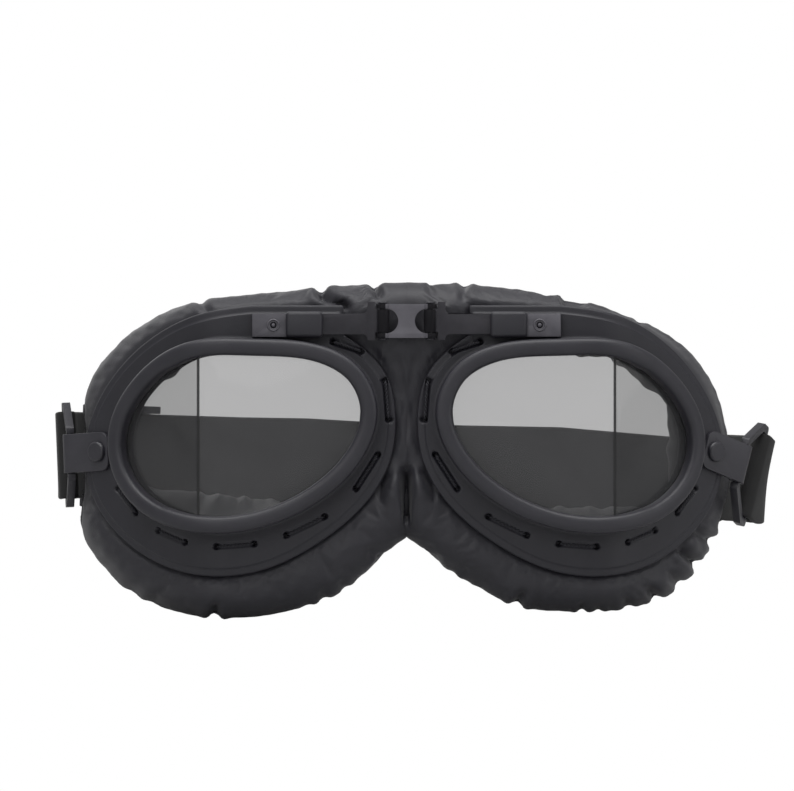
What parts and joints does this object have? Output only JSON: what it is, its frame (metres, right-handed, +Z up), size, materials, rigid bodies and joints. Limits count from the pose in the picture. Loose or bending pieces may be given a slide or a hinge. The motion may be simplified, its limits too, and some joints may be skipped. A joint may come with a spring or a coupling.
{
  "type": "riding goggles",
  "caption": "Padded riding goggles with hinged bridge, split smoke lenses in laced frames, and an adjustable elastic strap on swivelling temple loops.",
  "frame": {"origin": "middle of the flat face side of the padding, between the eyes and level with the middle of the lenses", "axes": "+X towards the wearer's left along the widest extent, +Z up, -Y the way the wearer looks"},
  "size_m": [0.2121, 0.143, 0.0966],
  "materials": {
    "moulded_frame": "satin black moulding",
    "rim": "satin black",
    "gasket": "matt black",
    "tinted_lens": "smoke grey, clear polished",
    "lens_cement": "dark clear joint",
    "thread": "black waxed thread",
    "hardware": "matt black painted pressings",
    "rivets": "matt black painted",
    "pins": "matt black painted",
    "cover_leather": "soft black leather-look cover",
    "foam": "dark open foam",
    "lining": "short black pile",
    "webbing": "black woven elastic",
    "loop_plastic": "satin black moulding"
  },
  "bodies": {
    "bridge": {"bridge_link": "hardware", "hinge_pin_right": "pins", "hinge_pin_left": "pins", "mask_cover": "cover_leather", "foam_pad_right": "foam", "foam_pad_left": "foam", "face_lining": "lining", "nose_stitching": "thread", "head_strap": "webbing", "strap_stitching": "thread"},
    "right_eye": {"frame_right": "moulded_frame", "lens_rim_right": "rim", "lens_gasket_right": "gasket", "front_lens_right": "tinted_lens", "side_lens_right": "tinted_lens", "lens_joint_right": "lens_cement", "lacing_thread_right": "thread", "bridge_arm_right": "hardware", "arm_rivet_right": "rivets", "temple_rivet_right": "rivets"},
    "right_tab": {"temple_tab_right": "hardware"},
    "right_loop": {"strap_loop_right": "loop_plastic"},
    "left_eye": {"frame_left": "moulded_frame", "lens_rim_left": "rim", "lens_gasket_left": "gasket", "front_lens_left": "tinted_lens", "side_lens_left": "tinted_lens", "lens_joint_left": "lens_cement", "lacing_thread_left": "thread", "bridge_arm_left": "hardware", "arm_rivet_left": "rivets", "temple_rivet_left": "rivets"},
    "left_tab": {"temple_tab_left": "hardware"},
    "left_loop": {"strap_loop_left": "loop_plastic"},
    "slider": {"strap_slider": "loop_plastic"}
  },
  "joints": [
    {"name": "bridge_hinge_right", "type": "hinge", "parent": "bridge", "child": "right_eye", "pos_m": [-0.0069, -0.022, 0.0336], "axis": [0, 0, -1], "range_deg": [-10, 15], "deforming": ["mask_cover", "foam_pad_right", "foam_pad_left", "face_lining", "head_strap", "strap_stitching"]},
    {"name": "bridge_hinge_left", "type": "hinge", "parent": "bridge", "child": "left_eye", "pos_m": [0.0069, -0.022, 0.0336], "axis": [0, 0, 1], "range_deg": [-10, 15], "deforming": ["mask_cover", "foam_pad_right", "foam_pad_left", "face_lining", "head_strap", "strap_stitching"]},
    {"name": "tab_swivel_right", "type": "hinge", "parent": "right_eye", "child": "right_tab", "pos_m": [-0.0895, 0.00452, -0.0044], "axis": [-0.6157, -0.788, 0], "range_deg": [-16, 5], "deforming": ["head_strap", "strap_stitching"]},
    {"name": "tab_swivel_left", "type": "hinge", "parent": "left_eye", "child": "left_tab", "pos_m": [0.0895, 0.00452, -0.0044], "axis": [0.6157, -0.788, 0], "range_deg": [-2, 38], "deforming": ["head_strap", "strap_stitching"]},
    {"name": "loop_hinge_right", "type": "hinge", "parent": "right_tab", "child": "right_loop", "pos_m": [-0.09823, 0.01249, -0.00502], "axis": [0.0412, -0.0322, -0.9986], "range_deg": [-40, 0], "deforming": ["head_strap", "strap_stitching"]},
    {"name": "loop_hinge_left", "type": "hinge", "parent": "left_tab", "child": "left_loop", "pos_m": [0.09779, 0.01214, -0.00805], "axis": [0.2435, 0.1902, 0.9511], "range_deg": [-40, 12], "deforming": ["head_strap", "strap_stitching"]},
    {"name": "slider_slide", "type": "slide", "parent": "right_eye", "child": "slider", "axis": [0.7984, 0.6015, -0.0279], "range_m": [0, 0.028]}
  ]
}
